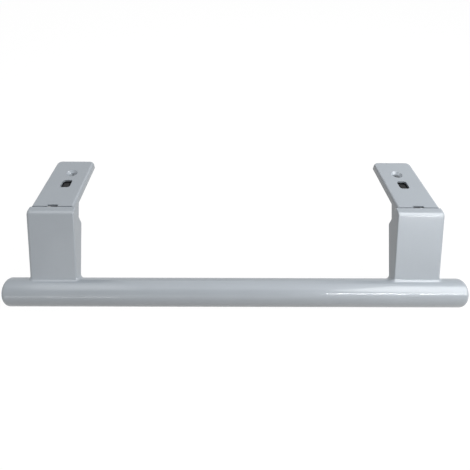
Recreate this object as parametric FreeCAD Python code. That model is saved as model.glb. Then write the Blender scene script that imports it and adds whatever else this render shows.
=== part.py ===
"""Lever door handle of a refrigerator: one grip moulding hinged on two brackets.

X runs along the grip bar, Y points from the bend to the cabinet, Z points out of the door's side.
The brackets sit on Z = 0, and the origin is midway between their two screw holes.
"""
import FreeCAD, Part
import math
import os

# Screw fastening, in millimetres and degrees as all sizes here
hole_to_bar_end = 43.5
hole_to_far_end = 21.0
screw_hole_diameter = 6.2
screw_sink_diameter = 10.4
screw_sink_depth = 2.1
screw_boss_diameter = 10.0

# Grip moulding: round bar with two hollow arms
bar_diameter = 25.2
bar_length = 397.0
bar_end_radius = 3.4
bend_angle = 128.0
arm_width = 40.4
arm_outset = 1.8
arm_length = 70.3
arm_front_to_bar_axis = 5.2
arm_depth_at_bend = 15.9
arm_depth_at_bar = 7.8
arm_wall = 1.9
lip_length = 6.7
lip_thickness = 1.7
side_wall_start = 10.4
side_wall_bow = 0.9
side_wall_corner_radius = 2.5
arm_outer_edge_radius = 3.0
arm_crisp_edge_radius = 0.9
foot_fillet_radius = 3.2
foot_embed = 6.0
cavity_end = 52.0
arm_rib_thickness = 1.4
arm_rib_places = (30.0, 41.0)
arm_rib_setback = 2.5

# Bracket: flange on the door's side, with two cheeks that reach into the arm
flange_reach = 77.0
flange_height = 5.2
flange_plate = 1.6
flange_corner_radius = 5.0
flange_rim_radius = 2.0
slit_width = 0.95
notch_width = 9.2
notch_depth = 2.0
window_to_hole = 16.5
window_width = 8.8
window_length = 11.0
window_corner_radius = 2.3
cheek_thickness = 2.4
cheek_end = 24.0
cheek_web_thickness = 2.0
cheek_inset = 0.6
cheek_side_gap = 0.3
rest_gap = 0.35

# Hinge and return spring
pin_diameter = 2.5
pin_setback = 9.5
pin_drop = 4.4
pin_running_clearance = 0.05
lug_wall = 1.15
lug_width = 5.0
lug_side_gap = 0.3
lug_foot = 14.0
lug_web_angle = 45.0
nose_reach = 12.5
nose_thickness = 1.3
nose_gap = 8.0
spring_wire_diameter = 0.7
spring_coil_gap = 0.4
spring_turns = 5
spring_pitch = 0.95
spring_leg_length = 9.0
hook_rib_thickness = 1.4
hook_rib_place = 8.0
hook_rib_width = 8.0
hook_hole_clearance = 0.15

# Pusher that slides under the flange and presses on the cabinet
pusher_width = 20.0
pusher_thickness = 2.7
pusher_side_gap = 0.3
pusher_door_gap = 0.2
pusher_tongue_width = 1.2
pusher_tongue_height = 1.2
pusher_tongue_gap = 0.2
pusher_ramp_angle = 35.0
pusher_ramp_lip = 0.2
pusher_end_setback = 0.4
pusher_boss_gap = 0.4
pusher_slot_length = 18.0
pusher_slot_shift = 0.6
pusher_slot_flat = 0.2
pusher_nub_width = 5.6
pusher_nub_length = 6.4
pusher_nub_shift = 1.3
pusher_nub_setback = 0.9
pusher_nub_edge_radius = 0.8
rail_setback = 6.5

# Places worked out from the driving dimensions
hole_spacing = bar_length - 2 * hole_to_bar_end
hole_to_bend = flange_reach - hole_to_far_end
window_y = -window_to_hole
bend_y = -hole_to_bend
far_y = bend_y + flange_reach
lip_y = bend_y + lip_length
flange_y = lip_y + slit_width
pivot = (bend_y + pin_setback, flange_height - pin_drop)
arm_x = hole_spacing / 2 + arm_outset
hole_x = hole_spacing / 2
plate_z = flange_height - flange_plate
flange_width = arm_width - 2 * (arm_wall + cheek_side_gap)
cheek_x = flange_width / 2 - cheek_thickness
pin_radius = pin_diameter / 2
lug_radius = pin_radius + pin_running_clearance + lug_wall
lug_x = cheek_x - lug_side_gap - lug_width / 2
coil_radius = pin_radius + spring_coil_gap + spring_wire_diameter / 2
nose_top = pivot[1] + lug_radius
nose_tip = (pivot[0] + nose_reach, nose_top - nose_thickness)
bend_turn = 180.0 - bend_angle
arm_along = (math.cos(math.radians(bend_angle)), -math.sin(math.radians(bend_angle)))
arm_inward = (math.sin(math.radians(bend_angle)), math.cos(math.radians(bend_angle)))
far_beyond = 40.0
overlap = 0.5
cut_margin = 1.0
pick_tolerance = 1e-3
blend_pick_tolerance = 1e-2
search_tolerance = 1e-9


def at_arm(along, inward):
    """Y and Z of a point given along the arm from the bend and inward from its front face."""
    y = bend_y + along * arm_along[0] + inward * arm_inward[0]
    z = flange_height + along * arm_along[1] + inward * arm_inward[1]
    return y, z


def arm_depth(along):
    """Depth of the arm's side walls, which narrows from the bend to the bar."""
    share = (along - side_wall_start) / (arm_length - side_wall_start)
    return arm_depth_at_bend + share * (arm_depth_at_bar - arm_depth_at_bend)


def level_on_arm(inward_of, z):
    """Y and Z of the point at height z on a line down the arm, given its inward place."""
    low, high = -far_beyond, far_beyond
    while high - low > search_tolerance:
        middle = (low + high) / 2
        if at_arm(middle, inward_of(middle))[1] > z:
            low = middle
        else:
            high = middle
    return at_arm(low, inward_of(low))


def vector(x, point):
    """Point in space from X and a Y, Z pair."""
    return FreeCAD.Vector(x, point[0], point[1])


def prism(points, centre_x, width):
    """Solid with a polygonal Y, Z outline, centred along X."""
    start = centre_x - width / 2
    corners = [vector(start, point) for point in points]
    corners.append(corners[0])
    face = Part.Face(Part.makePolygon(corners))
    return face.extrude(FreeCAD.Vector(width, 0, 0))


def block(centre_x, width, y_range, z_range):
    """Rectangular block centred along X."""
    corner = FreeCAD.Vector(centre_x - width / 2, y_range[0], z_range[0])
    return Part.makeBox(width, y_range[1] - y_range[0], z_range[1] - z_range[0], corner)


def rod(radius, centre_x, width, point):
    """Cylinder along X, centred along X."""
    start = vector(centre_x - width / 2, point)
    return Part.makeCylinder(radius, width, start, FreeCAD.Vector(1, 0, 0))


def upright_rounded(centre_x, width, y_range, z_range, radius):
    """Block whose upright edges are rounded."""
    solid = block(centre_x, width, y_range, z_range)
    height = z_range[1] - z_range[0]
    upright = [edge for edge in solid.Edges if abs(edge.BoundBox.ZLength - height) < pick_tolerance]
    return solid.makeFillet(radius, upright)


def chosen_edges(shape, test):
    """Edges whose middle point passes the test."""
    found = []
    for edge in shape.Edges:
        middle = edge.valueAt((edge.FirstParameter + edge.LastParameter) / 2)
        if test(edge, middle):
            found.append(edge)
    return found


def runs_at(edge, middle, point):
    """Whether an edge runs along X through the given Y, Z point."""
    away = math.hypot(middle.y - point[0], middle.z - point[1])
    return edge.BoundBox.XLength > overlap and away < pick_tolerance


def on_front(middle):
    """Whether a point lies on the arm's front face or on the lip's upper face."""
    inward = (middle.y - bend_y) * arm_inward[0] + (middle.z - flange_height) * arm_inward[1]
    on_level = abs(middle.z - flange_height) < pick_tolerance
    on_lip = on_level and middle.y < lip_y - pick_tolerance
    return on_lip or abs(inward) < pick_tolerance


def arm_outside():
    """Outer form of the arm on the +X side, with its edges rounded."""
    start = arm_x - arm_width / 2
    lip_end = (lip_y, flange_height)
    bend = (bend_y, flange_height)
    rear_top = at_arm(side_wall_start, arm_depth(side_wall_start))
    middle = ((lip_end[0] + rear_top[0]) / 2 - side_wall_bow, (lip_end[1] + rear_top[1]) / 2)
    foot_front = at_arm(arm_length - foot_embed, 0)
    foot_rear = at_arm(arm_length - foot_embed / 2, arm_depth(arm_length - foot_embed / 2))
    path = [
        Part.LineSegment(vector(start, lip_end), vector(start, bend)),
        Part.LineSegment(vector(start, bend), vector(start, foot_front)),
        Part.LineSegment(vector(start, foot_front), vector(start, foot_rear)),
        Part.LineSegment(vector(start, foot_rear), vector(start, rear_top)),
        Part.Arc(vector(start, rear_top), vector(start, middle), vector(start, lip_end)),
    ]
    outline = Part.Wire([piece.toShape() for piece in path])
    solid = Part.Face(outline).extrude(FreeCAD.Vector(arm_width, 0, 0))
    rear_edges = chosen_edges(solid, lambda edge, point: runs_at(edge, point, rear_top))
    solid = solid.makeFillet(side_wall_corner_radius, rear_edges)
    outer_x = arm_x + arm_width / 2

    def on_outer(edge, point):
        return abs(point.x - outer_x) < pick_tolerance and on_front(point)
    outer = chosen_edges(solid, on_outer)
    solid = solid.makeFillet(arm_outer_edge_radius, outer)
    inner_x = arm_x - arm_width / 2

    def on_inner(edge, point):
        return abs(point.x - inner_x) < pick_tolerance and on_front(point)
    inner = chosen_edges(solid, on_inner)
    crest = chosen_edges(solid, lambda edge, point: runs_at(edge, point, bend))
    return solid.makeFillet(arm_crisp_edge_radius, inner + crest)


def arm_cavity():
    """Space inside the arm on the +X side, open to the rear and above the lip's end."""
    lip_under = flange_height - lip_thickness
    corner = level_on_arm(lambda along: arm_wall, lip_under)
    outline = [
        (lip_y + far_beyond, lip_under),
        corner,
        at_arm(cavity_end, arm_wall),
        at_arm(cavity_end, far_beyond),
        (lip_y + far_beyond, at_arm(cavity_end, far_beyond)[1]),
    ]
    return prism(outline, arm_x, arm_width - 2 * arm_wall)


def arm_rib(along):
    """Cross rib that stiffens the arm's hollow back."""
    depth = arm_depth(along) - arm_rib_setback
    outline = [
        at_arm(along, arm_wall - overlap),
        at_arm(along + arm_rib_thickness, arm_wall - overlap),
        at_arm(along + arm_rib_thickness, depth),
        at_arm(along, depth),
    ]
    return prism(outline, arm_x, arm_width - 2 * arm_wall + 2 * overlap)


def hinge_lug(centre_x):
    """One lug that carries the arm on its pin, with its tail under the flange."""
    lip_under = flange_height - lip_thickness
    turn = math.radians(lug_web_angle)
    web = [
        (bend_y + arm_wall, lip_under + overlap),
        (lip_y - overlap, lip_under + overlap),
        (lip_y - overlap, nose_top),
        (pivot[0], nose_top),
        (pivot[0] + lug_radius * math.sin(turn), pivot[1] - lug_radius * math.cos(turn)),
        at_arm(lug_foot, arm_wall - overlap),
        at_arm(arm_wall, arm_wall - overlap),
    ]
    tail = block(centre_x, lug_width, (pivot[0], pivot[0] + rail_setback - rest_gap), (nose_tip[1], nose_top))
    return prism(web, centre_x, lug_width).fuse([rod(lug_radius, centre_x, lug_width, pivot), tail])


def cam_nose():
    """Cross bar between the lugs and the two fingers that press on the pusher's ramp."""
    start = pivot[0] + coil_radius + spring_wire_diameter / 2 + rest_gap
    bar_end = pivot[0] + rail_setback - rest_gap
    bar = block(arm_x, 2 * lug_x + lug_width, (start, bar_end), (nose_tip[1], nose_top))
    finger_width = (pusher_width - nose_gap) / 2
    pieces = [bar]
    for side in (-1, 1):
        finger_x = arm_x + side * (nose_gap + finger_width) / 2
        finger = block(finger_x, finger_width, (start, nose_tip[0]), (nose_tip[1], nose_top))
        pieces.append(finger)
    slot_heights = (nose_tip[1] - cut_margin, nose_top + cut_margin)
    slot = block(arm_x, nose_gap, (start - cut_margin, nose_tip[0]), slot_heights)
    return pieces[0].fuse(pieces[1:]).cut(slot)


def spring_span():
    """Length of the spring's coil along the pin."""
    return spring_pitch * (spring_turns + bend_turn / 360.0)


def spring_coil():
    """Centre line of the spring's coil, from above the pin to the arm's side of it."""
    span = spring_span()
    coil = Part.makeHelix(spring_pitch, span, coil_radius)
    start_x = arm_x - span / 2
    coil.Placement = FreeCAD.Placement(
        FreeCAD.Matrix(0, 0, 1, start_x, 0, -1, 0, pivot[0], 1, 0, 0, pivot[1], 0, 0, 0, 1)
    )
    return coil.Edges


def arm_leg_line():
    """Start and end of the spring leg that runs down inside the arm."""
    last = spring_coil()[-1]
    start = last.valueAt(last.LastParameter)
    return start, start.add(last.tangentAt(last.LastParameter).multiply(spring_leg_length + coil_radius))


def hook_rib():
    """Rib in the arm with the hole that holds the spring's leg."""
    start, end = arm_leg_line()
    leg_inward = (start.y - bend_y) * arm_inward[0] + (start.z - flange_height) * arm_inward[1]
    depth = leg_inward + 2 * spring_wire_diameter
    outline = [
        at_arm(hook_rib_place, arm_wall - overlap),
        at_arm(hook_rib_place + hook_rib_thickness, arm_wall - overlap),
        at_arm(hook_rib_place + hook_rib_thickness, depth),
        at_arm(hook_rib_place, depth),
    ]
    rib = prism(outline, arm_x, hook_rib_width)
    radius = spring_wire_diameter / 2 + hook_hole_clearance
    return rib.cut(Part.makeCylinder(radius, 2 * start.distanceToPoint(end), start, end.sub(start)))


def grip():
    """Grip moulding: the bar and both arms in one piece."""
    bar = rod(bar_diameter / 2, 0, bar_length, at_arm(arm_length, arm_front_to_bar_axis))
    ends = [edge for edge in bar.Edges if edge.BoundBox.XLength < pick_tolerance]
    bar = bar.makeFillet(bar_end_radius, ends)
    outside = arm_outside()
    left_outside = mirrored(outside)
    solid = bar.fuse([outside, left_outside])
    solid = solid.makeFillet(foot_fillet_radius, foot_edges(solid))
    inside = arm_cavity()
    solid = solid.cut([inside, mirrored(inside)])
    added = [hinge_lug(arm_x - lug_x), hinge_lug(arm_x + lug_x), cam_nose(), hook_rib()]
    added += [arm_rib(along) for along in arm_rib_places]
    added += [mirrored(piece) for piece in added]
    solid = solid.fuse(added)
    bore = rod(pin_radius + pin_running_clearance, arm_x, arm_width - 2 * arm_wall, pivot)
    return solid.cut([bore, mirrored(bore)]).removeSplitter()


def foot_edges(solid):
    """Edges where the arms' front faces run into the bar."""
    axis = at_arm(arm_length, arm_front_to_bar_axis)

    def on_bar_front(edge, point):
        away = math.hypot(point.y - axis[0], point.z - axis[1])
        inward = (point.y - bend_y) * arm_inward[0] + (point.z - flange_height) * arm_inward[1]
        is_end = abs(abs(point.x) - bar_length / 2) < 2 * bar_end_radius
        on_bar = abs(away - bar_diameter / 2) < blend_pick_tolerance
        return on_bar and inward < blend_pick_tolerance and not is_end and edge.Length > overlap
    return chosen_edges(solid, on_bar_front)


def cheek(side):
    """One cheek of the bracket, inside the arm's side wall."""
    def rear(along):
        return arm_depth(along) - cheek_inset
    under_lip = flange_height - lip_thickness - rest_gap
    outline = [
        (flange_y, under_lip),
        level_on_arm(lambda along: arm_wall + rest_gap, under_lip),
        at_arm(cheek_end, arm_wall + rest_gap),
        at_arm(cheek_end, rear(cheek_end)),
        level_on_arm(rear, 0),
        (far_y - flange_reach / 2, 0),
        (far_y - flange_reach / 2, under_lip),
    ]
    return prism(outline, arm_x + side * (cheek_x + cheek_thickness / 2), cheek_thickness)


def cheek_web():
    """Cross web that joins the cheeks' lower ends."""
    outline = [
        at_arm(cheek_end - cheek_web_thickness, arm_wall + rest_gap),
        at_arm(cheek_end, arm_wall + rest_gap),
        at_arm(cheek_end, arm_depth(cheek_end) - cheek_inset),
        at_arm(cheek_end - cheek_web_thickness, arm_depth(cheek_end) - cheek_inset),
    ]
    return prism(outline, arm_x, flange_width)


def flange():
    """Flange with its rounded far corners and rim, before anything is cut into it."""
    solid = block(arm_x, flange_width, (flange_y, far_y), (0, flange_height))

    def at_corner(edge, point):
        return edge.BoundBox.ZLength > overlap and abs(point.y - far_y) < pick_tolerance
    solid = solid.makeFillet(flange_corner_radius, chosen_edges(solid, at_corner))

    def on_rim(edge, point):
        return abs(point.z - flange_height) < pick_tolerance and point.y > flange_y + pick_tolerance
    return solid.makeFillet(flange_rim_radius, chosen_edges(solid, on_rim))


def bracket():
    """Bracket on the +X side: flange, rails, screw boss, window and cheeks."""
    solid = flange().fuse([cheek(-1), cheek(1), cheek_web()])
    rail_y = pivot[0] + rail_setback
    between = 2 * cheek_x
    room = (flange_y - cut_margin, rail_y)
    hinge_room = block(arm_x, between, room, (-cut_margin, plate_z))
    channel_width = pusher_width + 2 * pusher_side_gap
    run = (rail_y - cut_margin, far_y + cut_margin)
    channel = block(arm_x, channel_width, run, (-cut_margin, plate_z))
    groove_low = pusher_door_gap + (pusher_thickness - pusher_tongue_height) / 2 - pusher_tongue_gap
    groove_high = groove_low + pusher_tongue_height + 2 * pusher_tongue_gap
    groove_width = channel_width + 2 * pusher_tongue_width
    groove = block(arm_x, groove_width, run, (groove_low, groove_high))
    solid = solid.cut([hinge_room, channel, groove])
    boss = Part.makeCylinder(screw_boss_diameter / 2, flange_height, hole_at(0))
    solid = solid.fuse(boss)
    hole = Part.makeCylinder(screw_hole_diameter / 2, 2 * flange_height, hole_at(-cut_margin))
    sink_low = screw_sink_diameter / 2 - screw_sink_depth
    sink_floor = hole_at(flange_height - screw_sink_depth)
    sink = Part.makeCone(sink_low, screw_sink_diameter / 2, screw_sink_depth, sink_floor)
    window_range = (window_y - window_length / 2, window_y + window_length / 2)
    through_plate = (plate_z - cut_margin, flange_height + cut_margin)
    window = upright_rounded(hole_x, window_width, window_range, through_plate, window_corner_radius)
    notch = block(arm_x, notch_width, (flange_y - cut_margin, flange_y + notch_depth), through_plate)
    bore = rod(pin_radius, arm_x, flange_width + 2 * cut_margin, pivot)
    return solid.cut([hole, sink, window, notch, bore]).removeSplitter()


def hole_at(z):
    """Point on the axis of the +X screw hole."""
    return FreeCAD.Vector(hole_x, 0, z)


def hinge_pin():
    """Steel pin through the cheeks and lugs on the +X side."""
    return rod(pin_radius, arm_x, flange_width, pivot)


def return_spring():
    """Torsion spring round the pin on the +X side, with a leg under the flange and one in the arm."""
    coil = spring_coil()
    top = coil[0].valueAt(coil[0].FirstParameter)
    heading = coil[0].tangentAt(coil[0].FirstParameter)
    flange_end = top.sub(heading.multiply(spring_leg_length))
    start, end = arm_leg_line()
    path = Part.Wire([Part.makeLine(flange_end, top)] + coil + [Part.makeLine(start, end)])
    section = Part.Wire([Part.makeCircle(spring_wire_diameter / 2, flange_end, top.sub(flange_end))])
    return path.makePipeShell([section], True, True)


def pusher():
    """Pusher on the +X side: ramp, screw slot, window nub and side tongues."""
    low = pusher_door_gap
    high = low + pusher_thickness
    slope = math.tan(math.radians(pusher_ramp_angle))
    ramp_low = low + pusher_ramp_lip
    gap = rest_gap / math.cos(math.radians(pusher_ramp_angle))
    front_y = nose_tip[0] - (nose_tip[1] - ramp_low - gap) / slope
    back_y = far_y - pusher_end_setback
    outline = [
        (front_y, low),
        (front_y, ramp_low),
        (front_y + (high - ramp_low) / slope, high),
        (back_y, high),
        (back_y, low),
    ]
    solid = prism(outline, arm_x, pusher_width)
    tongue_low = low + (pusher_thickness - pusher_tongue_height) / 2
    tongue_range = (tongue_low, tongue_low + pusher_tongue_height)
    tongue_start = front_y + (high - ramp_low) / slope
    tongue_width = pusher_width + 2 * pusher_tongue_width
    tongues = block(arm_x, tongue_width, (tongue_start, back_y - flange_corner_radius), tongue_range)
    nub_y = window_y - pusher_nub_shift
    nub_range = (nub_y - pusher_nub_length / 2, nub_y + pusher_nub_length / 2)
    nub_top = flange_height - pusher_nub_setback
    nub = block(hole_x, pusher_nub_width, nub_range, (high - overlap, nub_top))
    nub_edges = chosen_edges(nub, lambda edge, point: point.z > high)
    nub = nub.makeFillet(pusher_nub_edge_radius, nub_edges)
    slot_range = (pusher_slot_shift - pusher_slot_length / 2, pusher_slot_shift + pusher_slot_length / 2)
    slot_width = screw_boss_diameter + 2 * pusher_boss_gap
    slot_heights = (low - cut_margin, high + cut_margin)
    slot_radius = (slot_width - pusher_slot_flat) / 2
    slot = upright_rounded(hole_x, slot_width, slot_range, slot_heights, slot_radius)
    return solid.fuse([tongues, nub]).cut(slot).removeSplitter()


def mirrored(shape):
    """The same piece on the other side of the handle."""
    return shape.mirror(FreeCAD.Vector(0, 0, 0), FreeCAD.Vector(1, 0, 0))


def save(name, shape):
    """Write one piece to its file and print what it measures."""
    box = shape.BoundBox
    print(name, shape.isValid(), len(shape.Solids), round(shape.Volume, 1), len(shape.Faces))
    print("   ", [round(value, 2) for value in (box.XMin, box.XMax, box.YMin, box.YMax, box.ZMin, box.ZMax)])
    shape.exportStep(os.path.join("parts", name + ".step"))


def main():
    """Build every piece and write it to its own file."""
    os.makedirs("parts", exist_ok=True)
    save("grip", grip())
    makers = {"bracket": bracket, "hinge_pin": hinge_pin, "return_spring": return_spring, "pusher": pusher}
    for name, make in makers.items():
        piece = make()
        save(name + "_right", piece)
        save(name + "_left", mirrored(piece))


main()
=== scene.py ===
"""Looks of a silver refrigerator door handle: finishes, light and camera round its solid parts.

All lengths are in metres, in the handle's own frame: X runs along the bar, Y points from the
bends to the cabinet and Z points out of the door's side.
"""
import logging
import math
from dataclasses import dataclass, field
from enum import Enum

import bmesh
import bpy
from mathutils import Matrix, Vector


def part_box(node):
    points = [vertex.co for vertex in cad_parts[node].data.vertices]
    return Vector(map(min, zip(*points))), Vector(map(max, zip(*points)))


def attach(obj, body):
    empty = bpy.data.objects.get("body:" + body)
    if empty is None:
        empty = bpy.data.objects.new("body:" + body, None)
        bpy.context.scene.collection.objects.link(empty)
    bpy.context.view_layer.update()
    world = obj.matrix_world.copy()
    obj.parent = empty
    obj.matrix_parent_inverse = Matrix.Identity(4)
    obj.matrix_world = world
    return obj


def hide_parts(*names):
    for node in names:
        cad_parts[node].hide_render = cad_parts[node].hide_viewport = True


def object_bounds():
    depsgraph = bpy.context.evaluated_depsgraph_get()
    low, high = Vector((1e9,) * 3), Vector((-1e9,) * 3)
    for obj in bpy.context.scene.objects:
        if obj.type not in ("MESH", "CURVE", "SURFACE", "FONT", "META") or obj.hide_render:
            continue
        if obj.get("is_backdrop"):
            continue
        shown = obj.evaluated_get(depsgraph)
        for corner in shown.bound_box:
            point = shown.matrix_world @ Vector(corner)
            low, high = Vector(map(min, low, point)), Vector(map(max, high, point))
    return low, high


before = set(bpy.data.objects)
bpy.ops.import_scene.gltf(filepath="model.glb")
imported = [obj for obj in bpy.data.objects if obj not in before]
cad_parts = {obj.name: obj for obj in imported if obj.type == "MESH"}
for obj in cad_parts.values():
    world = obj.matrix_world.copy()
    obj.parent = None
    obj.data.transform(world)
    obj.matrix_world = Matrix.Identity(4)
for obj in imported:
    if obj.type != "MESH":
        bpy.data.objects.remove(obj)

LOG = logging.getLogger("door_handle")
MILLIMETRES = 1000.0
FLOOR_GAP = 0.004
BYTE_FULL = 255.0
SRGB_KNEE = 0.04045
SRGB_SLOPE = 12.92
SRGB_OFFSET = 0.055
SRGB_POWER = 2.4
Colour = tuple[float, float, float]
SocketColour = tuple[float, float, float, float]
Point = tuple[float, float, float]


class Side(Enum):
    """The two ends of the handle, as they stand in the node names."""

    LEFT = "left"
    RIGHT = "right"


class Slot(Enum):
    """Material slots of the record."""

    SILVER_PLASTIC = "silver_plastic"
    SILVER_BRACKET = "silver_bracket"
    BLACK_PLASTIC = "black_plastic"
    STEEL = "steel"


class Ray(Enum):
    """Kinds of ray that the stage treats apart from the light on the handle."""

    CAMERA = "Is Camera Ray"
    GLOSSY = "Is Glossy Ray"
    TRANSMISSION = "Is Transmission Ray"


def linear(red: int, green: int, blue: int) -> Colour:
    """Scene-linear colour of an 8-bit display colour.

    Args:
        red: Red, from 0 to 255.
        green: Green, from 0 to 255.
        blue: Blue, from 0 to 255.

    Returns:
        The three channels in scene-linear light.
    """
    channels = []
    for value in (red, green, blue):
        share = value / BYTE_FULL
        if share <= SRGB_KNEE:
            channels.append(share / SRGB_SLOPE)
        else:
            channels.append(((share + SRGB_OFFSET) / (1.0 + SRGB_OFFSET)) ** SRGB_POWER)
    return channels[0], channels[1], channels[2]


def shaded(colour: Colour, factor: float = 1.0) -> SocketColour:
    """A colour made darker or lighter, as a socket value.

    Args:
        colour: Scene-linear colour.
        factor: What each channel is multiplied by.

    Returns:
        Red, green, blue and an alpha of one.
    """
    return colour[0] * factor, colour[1] * factor, colour[2] * factor, 1.0


class NodeTable:
    """A small helper that lays out the shader nodes of one material."""

    noise_low: float = 0.3
    noise_high: float = 0.7

    def __init__(self, tree: bpy.types.NodeTree) -> None:
        """Start from an empty tree.

        Args:
            tree: The node tree to fill.
        """
        self.tree = tree
        tree.nodes.clear()

    def node(self, kind: str, **values: object) -> bpy.types.Node:
        """Add a node.

        Args:
            kind: Blender's name of the node type.
            **values: Attributes of the node, such as operation.

        Returns:
            The new node.
        """
        made = self.tree.nodes.new(kind)
        for key, value in values.items():
            setattr(made, key, value)
        return made

    def link(self, start: bpy.types.NodeSocket, end: bpy.types.NodeSocket) -> None:
        """Join an output to an input."""
        self.tree.links.new(start, end)

    def grain(self, scale: float, detail: float) -> bpy.types.NodeSocket:
        """Noise in the handle's own coordinates.

        Args:
            scale: Features per metre.
            detail: Octaves of finer noise.

        Returns:
            The socket of the noise value, from 0 to 1.
        """
        place = self.node("ShaderNodeTexCoord")
        noise = self.node("ShaderNodeTexNoise")
        noise.inputs["Scale"].default_value = scale
        noise.inputs["Detail"].default_value = detail
        self.link(place.outputs["Object"], noise.inputs["Vector"])
        return noise.outputs["Fac"]

    def spread(self, source: bpy.types.NodeSocket, low: float, high: float) -> bpy.types.NodeSocket:
        """Map the range that noise mostly keeps to onto a new range.

        Args:
            source: Value from 0 to 1, such as noise.
            low: Result at the noise's low end and under.
            high: Result at the noise's high end and over.

        Returns:
            The socket of the mapped value.
        """
        mapped = self.node("ShaderNodeMapRange", clamp=True)
        mapped.inputs["From Min"].default_value = self.noise_low
        mapped.inputs["From Max"].default_value = self.noise_high
        mapped.inputs["To Min"].default_value = low
        mapped.inputs["To Max"].default_value = high
        self.link(source, mapped.inputs["Value"])
        return mapped.outputs["Result"]

    def blend(
        self,
        share: bpy.types.NodeSocket,
        dark: SocketColour,
        light: SocketColour,
    ) -> bpy.types.NodeSocket:
        """Mix two colours by a value.

        Args:
            share: Value from 0 to 1.
            dark: Colour at 0, with alpha.
            light: Colour at 1, with alpha.

        Returns:
            The socket of the mixed colour.
        """
        ramp = self.node("ShaderNodeValToRGB")
        ramp.color_ramp.elements[0].color = dark
        ramp.color_ramp.elements[1].color = light
        self.link(share, ramp.inputs["Fac"])
        return ramp.outputs["Color"]

    def bump(
        self,
        height: bpy.types.NodeSocket,
        depth: float,
        under: bpy.types.NodeSocket | None = None,
    ) -> bpy.types.NodeSocket:
        """Turn a height into a surface normal.

        Args:
            height: Value that stands for the height.
            depth: Height difference in metres.
            under: Normal of a coarser relief below this one.

        Returns:
            The socket of the normal.
        """
        relief = self.node("ShaderNodeBump")
        relief.inputs["Strength"].default_value = 1.0
        relief.inputs["Distance"].default_value = depth
        self.link(height, relief.inputs["Height"])
        if under is not None:
            self.link(under, relief.inputs["Normal"])
        return relief.outputs["Normal"]


@dataclass(frozen=True)
class SilverPaint:
    """Silver lacquer: fine metal flakes under a smooth clear coat.

    Attributes:
        name: Name of the material.
        colour: Mean colour of the lacquer.
        metallic: Share of the flakes that mirror like metal.
        roughness: Least and most roughness of the flake layer.
        coat: Weight of the clear coat, with coat_index and coat_roughness for its own gloss.
        specular: Strength of the flake layer's own gloss.
        ramp_middle: Place of the mean colour between the darkest and the lightest tone.
        ramp_reach: How far those tones lie from the mean, as a share of it.
        flake_scale: Flakes per metre, with their detail, contrast and relief in metres.
        cloud_scale: Soft uneven patches per metre, with their detail and contrast.
        peel_scale: Waves of the coat per metre, with their detail and depth in metres.
    """

    name: str
    colour: Colour = linear(176, 184, 192)
    metallic: float = 0.08
    roughness: tuple[float, float] = (0.36, 0.44)
    coat: float = 0.35
    coat_index: float = 2.2
    coat_roughness: float = 0.11
    specular: float = 0.2
    ramp_middle: float = 0.5
    ramp_reach: float = 0.5
    flake_scale: float = 5200.0
    flake_detail: float = 1.0
    flake_contrast: float = 0.035
    flake_depth: float = 0.0000006
    cloud_scale: float = 28.0
    cloud_detail: float = 3.0
    cloud_contrast: float = 0.02
    peel_scale: float = 900.0
    peel_detail: float = 2.0
    peel_depth: float = 0.0000003

    def make(self) -> bpy.types.Material:
        """Build the material.

        Returns:
            The painted finish.
        """
        material = bpy.data.materials.new(self.name)
        material.use_nodes = True
        table = NodeTable(material.node_tree)
        flakes = table.grain(self.flake_scale, self.flake_detail)
        clouds = table.grain(self.cloud_scale, self.cloud_detail)
        low = self.ramp_middle - self.flake_contrast
        high = self.ramp_middle + self.flake_contrast
        both = table.node("ShaderNodeMath", operation="ADD")
        table.link(table.spread(flakes, low, high), both.inputs[0])
        table.link(table.spread(clouds, -self.cloud_contrast, self.cloud_contrast), both.inputs[1])
        dark = shaded(self.colour, 1.0 - self.ramp_reach)
        light = shaded(self.colour, 1.0 + self.ramp_reach)
        base = table.blend(both.outputs["Value"], dark, light)
        shader = table.node("ShaderNodeBsdfPrincipled")
        shader.inputs["Metallic"].default_value = self.metallic
        shader.inputs["Specular IOR Level"].default_value = self.specular
        shader.inputs["Coat Weight"].default_value = self.coat
        shader.inputs["Coat IOR"].default_value = self.coat_index
        shader.inputs["Coat Roughness"].default_value = self.coat_roughness
        table.link(base, shader.inputs["Base Color"])
        table.link(table.spread(clouds, *self.roughness), shader.inputs["Roughness"])
        peel = table.bump(table.grain(self.peel_scale, self.peel_detail), self.peel_depth)
        table.link(peel, shader.inputs["Coat Normal"])
        table.link(table.bump(flakes, self.flake_depth, peel), shader.inputs["Normal"])
        output = table.node("ShaderNodeOutputMaterial")
        table.link(shader.outputs["BSDF"], output.inputs["Surface"])
        return material


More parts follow.
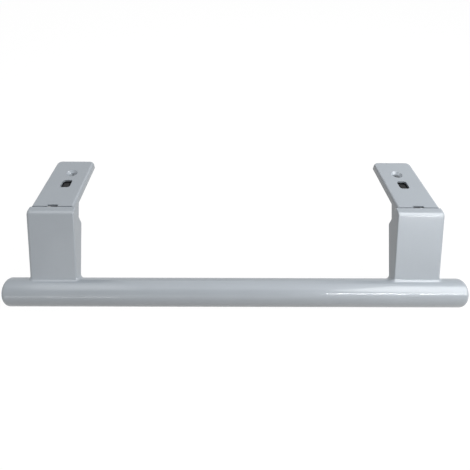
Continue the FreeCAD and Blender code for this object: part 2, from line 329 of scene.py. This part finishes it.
@dataclass(frozen=True)
class MouldedPlastic:
    """Black sliding plastic with a fine spark-eroded grain.

    Attributes:
        name: Name of the material.
        colour: Mean colour of the plastic.
        roughness: Least and most roughness.
        specular: Strength of the gloss.
        grain_scale: Grains per metre, with their detail and depth in metres.
        tone_scale: Uneven patches per metre, with their detail.
        tones: Darkest and lightest patch, as shares of the mean colour.
    """

    name: str
    colour: Colour = linear(20, 21, 23)
    roughness: tuple[float, float] = (0.38, 0.52)
    specular: float = 0.2
    grain_scale: float = 2600.0
    grain_detail: float = 2.0
    grain_depth: float = 0.000012
    tone_scale: float = 120.0
    tone_detail: float = 3.0
    tones: tuple[float, float] = (0.8, 1.25)

    def make(self) -> bpy.types.Material:
        """Build the material.

        Returns:
            The moulded finish.
        """
        material = bpy.data.materials.new(self.name)
        material.use_nodes = True
        table = NodeTable(material.node_tree)
        grain = table.grain(self.grain_scale, self.grain_detail)
        tone = table.grain(self.tone_scale, self.tone_detail)
        dark, light = (shaded(self.colour, factor) for factor in self.tones)
        shader = table.node("ShaderNodeBsdfPrincipled")
        table.link(table.blend(tone, dark, light), shader.inputs["Base Color"])
        shader.inputs["Specular IOR Level"].default_value = self.specular
        table.link(table.spread(grain, *self.roughness), shader.inputs["Roughness"])
        table.link(table.bump(grain, self.grain_depth), shader.inputs["Normal"])
        output = table.node("ShaderNodeOutputMaterial")
        table.link(shader.outputs["BSDF"], output.inputs["Surface"])
        return material


@dataclass(frozen=True)
class DrawnSteel:
    """Bright steel with fine drawing or turning marks along one direction.

    Attributes:
        name: Name of the material.
        colour: Mean colour of the steel.
        roughness: Least and most roughness.
        mark_stretch: Marks per metre along X, Y and Z, few along the marks' own direction.
        mark_detail: Octaves of finer marks.
        mark_depth: Depth of the marks in metres.
        tones: Darkest and lightest mark, as shares of the mean colour.
    """

    name: str
    colour: Colour = linear(172, 172, 174)
    roughness: tuple[float, float] = (0.22, 0.36)
    mark_stretch: Point = (400.0, 9000.0, 9000.0)
    mark_detail: float = 3.0
    mark_depth: float = 0.000002
    tones: tuple[float, float] = (0.8, 1.15)

    def make(self) -> bpy.types.Material:
        """Build the material.

        Returns:
            The metal finish.
        """
        material = bpy.data.materials.new(self.name)
        material.use_nodes = True
        table = NodeTable(material.node_tree)
        place = table.node("ShaderNodeTexCoord")
        stretch = table.node("ShaderNodeMapping")
        stretch.inputs["Scale"].default_value = self.mark_stretch
        table.link(place.outputs["Object"], stretch.inputs["Vector"])
        marks = table.node("ShaderNodeTexNoise")
        marks.inputs["Scale"].default_value = 1.0
        marks.inputs["Detail"].default_value = self.mark_detail
        table.link(stretch.outputs["Vector"], marks.inputs["Vector"])
        shader = table.node("ShaderNodeBsdfPrincipled")
        shader.inputs["Metallic"].default_value = 1.0
        value = marks.outputs["Fac"]
        dark, light = (shaded(self.colour, factor) for factor in self.tones)
        table.link(table.blend(value, dark, light), shader.inputs["Base Color"])
        table.link(table.spread(value, *self.roughness), shader.inputs["Roughness"])
        table.link(table.bump(value, self.mark_depth), shader.inputs["Normal"])
        output = table.node("ShaderNodeOutputMaterial")
        table.link(shader.outputs["BSDF"], output.inputs["Surface"])
        return material


@dataclass
class SolidPart:
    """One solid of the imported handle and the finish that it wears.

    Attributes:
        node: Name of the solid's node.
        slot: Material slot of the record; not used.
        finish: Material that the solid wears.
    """

    node: str
    slot: Slot
    finish: bpy.types.Material

    def dress(self) -> None:
        """Give the solid its finish, and log its size."""
        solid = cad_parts[self.node]
        solid.data.materials.clear()
        solid.data.materials.append(self.finish)
        low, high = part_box(self.node)
        size = [round(MILLIMETRES * value, 1) for value in high - low]
        LOG.info("%s: %s mm, finish %s", self.node, size, self.finish.name)


@dataclass
class RolledCrest:
    """The soft roll where an arm bends over into its lip.

    The solid has a crisp corner there. The roll is worked out in a frame of its own: run is the
    distance across the corner, up the lip when positive, and rise is the height above the corner.

    Attributes:
        corner: Y and Z of the sharp corner of arm and lip.
        bend_angle: Angle between the arm and the lip, in degrees.
        solid_radius: Rounding that the solid has there.
        radius: Rounding that the roll has.
        skin_depth: Depth below the corner that moves with the skin.
        fade_depth: Depth at which nothing moves any more.
        slices: Strips that the roll is cut into.
        kept: Name of the mesh attribute that carries the solid's normals along.
    """

    corner: tuple[float, float] = (-0.0560, 0.0052)
    bend_angle: float = 128.0
    solid_radius: float = 0.0009
    radius: float = 0.0052
    skin_depth: float = 0.0030
    fade_depth: float = 0.0060
    slices: int = 20
    kept: str = "kept_normal"

    @property
    def slope(self) -> float:
        """Angle of either face below the corner's level, in radians."""
        return math.radians(90.0 - self.bend_angle / 2)

    @property
    def rise_axis(self) -> Vector:
        """Direction that points straight out of the corner."""
        lean = math.radians(self.bend_angle / 2)
        return Vector((0.0, -math.cos(lean), math.sin(lean)))

    @property
    def run_axis(self) -> Vector:
        """Direction across the corner, towards the lip."""
        return self.rise_axis.cross(Vector((1.0, 0.0, 0.0)))

    @property
    def half_run(self) -> float:
        """How far the roll reaches to each side of the corner."""
        return self.radius * math.sin(self.slope)

    def place(self, point: Vector) -> tuple[float, float]:
        """Run and rise of a point of the handle."""
        away = point - Vector((point.x, *self.corner))
        return away.dot(self.run_axis), away.dot(self.rise_axis)

    def profile(self, run: float, radius: float) -> tuple[float, float]:
        """Height and steepness of a corner rounded to a radius.

        Args:
            run: Distance across the corner.
            radius: Radius of the rounding.

        Returns:
            The rise at that run, and its change per unit of run.
        """
        if abs(run) >= radius * math.sin(self.slope):
            return -abs(run) * math.tan(self.slope), -math.copysign(math.tan(self.slope), run)
        height = math.sqrt(radius * radius - run * run)
        return height - radius / math.cos(self.slope), -run / height

    def change(self, run: float, rise: float) -> tuple[float, float]:
        """What the roll adds to the rise and to the steepness of a point of the solid.

        Args:
            run: Distance across the corner.
            rise: Height above the corner.

        Returns:
            The added rise and the added steepness, both none away from the skin.
        """
        near = (self.fade_depth + rise) / (self.fade_depth - self.skin_depth)
        share = min(max(near, 0.0), 1.0)
        rolled, rolled_steepness = self.profile(run, self.radius)
        crisp, crisp_steepness = self.profile(run, self.solid_radius)
        return share * (rolled - crisp), share * (rolled_steepness - crisp_steepness)

    def shape(self, mesh: bpy.types.Mesh, webs: list[Matrix]) -> None:
        """Roll the corner of a mesh, turn its normals with it, and add flat-sided webs.

        The mesh is cut into strips first, and one strip more beyond either end of the roll.

        Args:
            mesh: Copy of the moulding's mesh, with its own corner normals.
            webs: Size and place of each web, for a unit cube.
        """
        normals = [value for corner in mesh.corner_normals for value in corner.vector]
        mesh.attributes.new(self.kept, "FLOAT_VECTOR", "CORNER").data.foreach_set("vector", normals)
        model = bmesh.new()
        model.from_mesh(mesh)
        outermost = self.slices // 2 + 1
        for index in range(-outermost, outermost + 1):
            self.slice(model, 2 * self.half_run * index / self.slices)
        layer = model.loops.layers.float_vector[self.kept]
        for face in model.faces:
            for loop in face.loops:
                _, steeper = self.change(*self.place(loop.vert.co))
                normal = loop[layer].normalized()
                lean = steeper * normal.dot(self.rise_axis)
                loop[layer] = (normal - self.run_axis * lean).normalized()
        for point in model.verts:
            lift, _ = self.change(*self.place(point.co))
            point.co += self.rise_axis * lift
        for web in webs:
            block = bmesh.ops.create_cube(model, size=1.0, matrix=web)["verts"]
            for face in {face for point in block for face in point.link_faces}:
                face.normal_update()
                for loop in face.loops:
                    loop[layer] = face.normal
        bmesh.ops.triangulate(model, faces=model.faces[:])
        model.to_mesh(mesh)
        model.free()
        for face in mesh.polygons:
            face.use_smooth = True
        mesh.normals_split_custom_set([tuple(item.vector) for item in mesh.attributes[self.kept].data])
        mesh.attributes.remove(mesh.attributes[self.kept])

    def slice(self, model: bmesh.types.BMesh, run: float) -> None:
        """Cut the faces near the corner along one line that runs beside it.

        Args:
            model: The moulding.
            run: The line's distance across the corner.
        """
        near = []
        for face in model.faces:
            runs, rises = zip(*(self.place(point.co) for point in face.verts))
            if min(runs) < run < max(runs) and max(rises) > -self.fade_depth:
                near.append(face)
        parts = near + list({edge for face in near for edge in face.edges})
        parts += list({point for face in near for point in face.verts})
        level = Vector((0.0, *self.corner)) + self.run_axis * run
        bmesh.ops.bisect_plane(model, geom=parts, plane_co=level, plane_no=self.run_axis)


@dataclass
class GripMoulding:
    """The bar and both hollow arms, one silver moulding.

    Attributes:
        finish: Material of the moulding.
        crest: The roll at the top of both arms.
        arm_offset: Middle of either arm along X.
        web_width: Width of the web in front of either spring.
        web_reach: Front and back of a web along Y.
        web_height: Bottom and top of a web along Z.
    """

    finish: bpy.types.Material
    crest: RolledCrest = field(default_factory=RolledCrest)
    arm_offset: float = 0.1568
    web_width: float = 0.026
    web_reach: tuple[float, float] = (-0.0438, -0.0425)
    web_height: tuple[float, float] = (0.0007, 0.0021)

    def build(self) -> None:
        """Copy the solid's form, roll its crests, add its nose webs and paint it."""
        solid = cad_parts["grip"]
        mesh = solid.data.copy()
        mesh.name = "grip_moulding"
        self.crest.shape(mesh, [self.web(-self.arm_offset), self.web(self.arm_offset)])
        mesh.materials.clear()
        mesh.materials.append(self.finish)
        moulding = bpy.data.objects.new("grip_moulding", mesh)
        bpy.context.scene.collection.objects.link(moulding)
        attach(moulding, "grip")
        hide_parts("grip")
        LOG.info("grip_moulding: %d faces, finish %s", len(mesh.polygons), self.finish.name)

    def web(self, offset: float) -> Matrix:
        """Place of the web that stiffens the nose bar in front of the spring, for a unit cube.

        Args:
            offset: Middle of the arm along X.

        Returns:
            The matrix that sizes and places the web.
        """
        (front, back), (bottom, top) = self.web_reach, self.web_height
        middle = Vector((offset, (front + back) / 2, (bottom + top) / 2))
        size = Matrix.Diagonal((self.web_width, back - front, top - bottom, 1.0))
        return Matrix.Translation(middle) @ size


@dataclass
class HingeEnd:
    """Everything at one end of the handle: bracket, pin, spring and pusher.

    Attributes:
        side: The end that this is.
        paint: Finish of the bracket.
        pin_steel: Finish of the hinge pin.
        spring_steel: Finish of the return spring.
        plastic: Finish of the pusher.
    """

    side: Side
    paint: bpy.types.Material
    pin_steel: bpy.types.Material
    spring_steel: bpy.types.Material
    plastic: bpy.types.Material

    def dress(self) -> None:
        """Give each of the end's solids its finish."""
        finishes = {
            "bracket": (Slot.SILVER_BRACKET, self.paint),
            "hinge_pin": (Slot.STEEL, self.pin_steel),
            "return_spring": (Slot.STEEL, self.spring_steel),
            "pusher": (Slot.BLACK_PLASTIC, self.plastic),
        }
        for name, (slot, finish) in finishes.items():
            SolidPart(f"{name}_{self.side.value}", slot, finish).dress()


@dataclass(frozen=True)
class SoftBox:
    """A rectangular studio light that faces a point of the handle.

    Attributes:
        name: Name of the light.
        place: Where its middle is.
        target: The point that it faces.
        size: Its width along X and its height.
        watts: Its power.
    """

    name: str
    place: Point
    target: Point
    size: tuple[float, float]
    watts: float

    def light(self) -> None:
        """Add the light to the scene."""
        lamp = bpy.data.lights.new(self.name, "AREA")
        lamp.shape = "RECTANGLE"
        lamp.size, lamp.size_y = self.size
        lamp.energy = self.watts
        holder = bpy.data.objects.new(self.name, lamp)
        aim = Vector(self.target) - Vector(self.place)
        holder.location = self.place
        holder.rotation_euler = aim.to_track_quat("-Z", "Y").to_euler()
        bpy.context.scene.collection.objects.link(holder)
        LOG.info("light %s: %.2f W", self.name, self.watts)


@dataclass
class Studio:
    """White floor, even surrounding light and the soft boxes.

    Attributes:
        floor_height: Z of the floor.
        floor_size: Length of the floor's sides.
        surround: Light that comes from all round.
        floor_tone: Colour of the share of the floor that takes a shadow.
        bounce: Colour that the floor throws back onto the handle.
        shadow_share: Share of the floor's white that takes a shadow.
        whiteness: Brightness of the floor's own white.
        boxes: The lights.
    """

    floor_height: float
    floor_size: float = 6.0
    surround: Colour = (0.05, 0.05, 0.05)
    floor_tone: Colour = (0.9, 0.9, 0.9)
    bounce: Colour = (0.49, 0.44, 0.38)
    shadow_share: float = 0.06
    whiteness: float = 1.045
    boxes: list[SoftBox] = field(default_factory=list)

    def build(self) -> None:
        """Make the floor, the world and the lights."""
        self.floor()
        self.world()
        for box in self.boxes:
            box.light()

    def seen(self, table: NodeTable, *rays: Ray) -> bpy.types.NodeSocket:
        """Value that is one for the given kinds of ray.

        Args:
            table: Node table of the material or world.
            *rays: Kinds of ray.

        Returns:
            The socket of the value.
        """
        path = table.node("ShaderNodeLightPath")
        total = path.outputs[rays[0].value]
        for ray in rays[1:]:
            wider = table.node("ShaderNodeMath", operation="MAXIMUM")
            table.link(total, wider.inputs[0])
            table.link(path.outputs[ray.value], wider.inputs[1])
            total = wider.outputs["Value"]
        return total

    def floor(self) -> None:
        """Lay the floor: white to the camera and to mirror rays, and a warm bounce to the rest."""
        half = self.floor_size / 2
        rim = [(-half, -half), (half, -half), (half, half), (-half, half)]
        mesh = bpy.data.meshes.new("floor")
        mesh.from_pydata([(x, y, self.floor_height) for x, y in rim], [], [(0, 1, 2, 3)])
        floor = bpy.data.objects.new("floor", mesh)
        bpy.context.scene.collection.objects.link(floor)
        material = bpy.data.materials.new("white_floor")
        material.use_nodes = True
        table = NodeTable(material.node_tree)
        shadowed = table.node("ShaderNodeBsdfDiffuse")
        shadowed.inputs["Color"].default_value = shaded(self.floor_tone)
        bounce = table.node("ShaderNodeBsdfDiffuse")
        bounce.inputs["Color"].default_value = shaded(self.bounce)
        white = table.node("ShaderNodeEmission")
        white.inputs["Strength"].default_value = self.whiteness
        lit = table.node("ShaderNodeMixShader")
        lit.inputs["Fac"].default_value = 1.0 - self.shadow_share
        table.link(shadowed.outputs["BSDF"], lit.inputs[1])
        table.link(white.outputs["Emission"], lit.inputs[2])
        chosen = table.node("ShaderNodeMixShader")
        table.link(self.seen(table, Ray.CAMERA, Ray.GLOSSY, Ray.TRANSMISSION), chosen.inputs["Fac"])
        table.link(bounce.outputs["BSDF"], chosen.inputs[1])
        table.link(lit.outputs["Shader"], chosen.inputs[2])
        output = table.node("ShaderNodeOutputMaterial")
        table.link(chosen.outputs["Shader"], output.inputs["Surface"])
        mesh.materials.append(material)
        floor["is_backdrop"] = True

    def world(self) -> None:
        """Fill the surroundings with even light, and with white for the camera and for mirror rays."""
        world = bpy.data.worlds.new("studio")
        world.use_nodes = True
        bpy.context.scene.world = world
        table = NodeTable(world.node_tree)
        even = table.node("ShaderNodeBackground")
        even.inputs["Color"].default_value = shaded(self.surround)
        white = table.node("ShaderNodeBackground")
        white.inputs["Color"].default_value = shaded((1.0, 1.0, 1.0))
        chosen = table.node("ShaderNodeMixShader")
        table.link(self.seen(table, Ray.CAMERA, Ray.GLOSSY, Ray.TRANSMISSION), chosen.inputs["Fac"])
        table.link(even.outputs["Background"], chosen.inputs[1])
        table.link(white.outputs["Background"], chosen.inputs[2])
        output = table.node("ShaderNodeOutputWorld")
        table.link(chosen.outputs["Shader"], output.inputs["Surface"])


@dataclass(frozen=True)
class Viewpoint:
    """The camera of the picture, which looks down at the handle from the front.

    Attributes:
        place: Where the camera is.
        pitch: Angle of its view above the level, in degrees.
        yaw: Turn of its view to the right, in degrees.
        roll: Turn about its view, in degrees.
        focal_pixels: Focal length, in pixels of the picture.
        centre_pixels: Distance of the picture's middle from the view's axis, in pixels.
        frame_pixels: Width of the picture, in pixels.
        sensor: Width of the sensor.
        near_clip: Nearest distance that is shown.
    """

    place: Point
    pitch: float
    yaw: float
    roll: float
    focal_pixels: float
    centre_pixels: float
    frame_pixels: float = 470.0
    sensor: float = 0.036
    near_clip: float = 0.01

    def build(self) -> None:
        """Create the camera and make it the scene's own."""
        data = bpy.data.cameras.new("picture")
        data.sensor_width = MILLIMETRES * self.sensor
        data.lens = MILLIMETRES * self.sensor * self.focal_pixels / self.frame_pixels
        data.shift_x = -self.centre_pixels / self.frame_pixels
        data.clip_start = self.near_clip
        camera = bpy.data.objects.new("picture", data)
        pitch, yaw, roll = (math.radians(angle) for angle in (self.pitch, self.yaw, self.roll))
        ahead = Vector((0.0, math.cos(pitch), math.sin(pitch)))
        across = Vector((1.0, 0.0, 0.0))
        forward = ahead * math.cos(yaw) + across * math.sin(yaw)
        right = across * math.cos(yaw) - ahead * math.sin(yaw)
        up = right.cross(forward)
        turned = right * math.cos(roll) + up * math.sin(roll)
        upright = up * math.cos(roll) - right * math.sin(roll)
        turn = Matrix((turned, upright, -forward)).transposed()
        camera.matrix_world = Matrix.Translation(self.place) @ turn.to_4x4()
        bpy.context.scene.collection.objects.link(camera)
        bpy.context.scene.camera = camera
        LOG.info("camera at %s, lens %.1f mm", self.place, data.lens)


def corners(box: tuple[Vector, Vector]) -> list[list[float]]:
    """A box as plain lists of numbers."""
    return [list(box[0]), list(box[1])]


def main() -> None:
    """Dress the handle, then set up the studio and the camera."""
    logging.basicConfig(level=logging.INFO, format="%(name)s: %(message)s")
    solid_box = corners(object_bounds())
    grip_paint = SilverPaint("silver_lacquer").make()
    bracket_paint = SilverPaint("silver_bracket_lacquer").make()
    plastic = MouldedPlastic("black_sliding_plastic").make()
    pin_steel = DrawnSteel("turned_pin_steel", mark_stretch=(9000.0, 500.0, 500.0)).make()
    spring_steel = DrawnSteel("spring_wire_steel").make()
    GripMoulding(grip_paint).build()
    for side in Side:
        HingeEnd(side, bracket_paint, pin_steel, spring_steel, plastic).dress()
    # A box that draws a line on the bar faces a point at its own X, which keeps it along the bar.
    boxes = [
        SoftBox("key", (0.72, -0.25, 0.66), (0.05, -0.05, 0.0), (0.7, 0.7), 6.2),
        SoftBox("top", (0.0, 0.05, 0.9), (0.0, -0.03, 0.0), (1.4, 0.8), 2.2),
        SoftBox("rear", (0.0, 0.8, 0.6), (0.0, -0.03, 0.0), (0.8, 0.4), 0.8),
        SoftBox("left_fill", (-0.45, -0.12, 0.72), (-0.12, -0.09, -0.04), (0.6, 0.3), 0.4),
        SoftBox("front", (0.0, -0.9, 0.25), (0.0, -0.05, -0.02), (1.2, 0.4), 0.55),
        SoftBox("bar_line", (0.41, -0.485, 0.335), (0.41, -0.09, -0.045), (0.34, 0.016), 0.85),
        SoftBox("end_line", (0.625, 0.12, 0.41), (0.625, -0.09, -0.05), (0.08, 0.016), 0.22),
        SoftBox("low_left_line", (-0.43, -0.63, 0.08), (-0.43, -0.09, -0.045), (0.35, 0.016), 0.14),
    ]
    Studio(floor_height=solid_box[0][2] - FLOOR_GAP, boxes=boxes).build()
    Viewpoint(
        place=(-0.01226, -0.27322, 0.19624),
        pitch=-45.054,
        yaw=0.313,
        roll=0.205,
        focal_pixels=344.1,
        centre_pixels=-11.465,
    ).build()
    bpy.context.scene.view_settings.view_transform = "Standard"


if __name__ == "__main__":
    main()
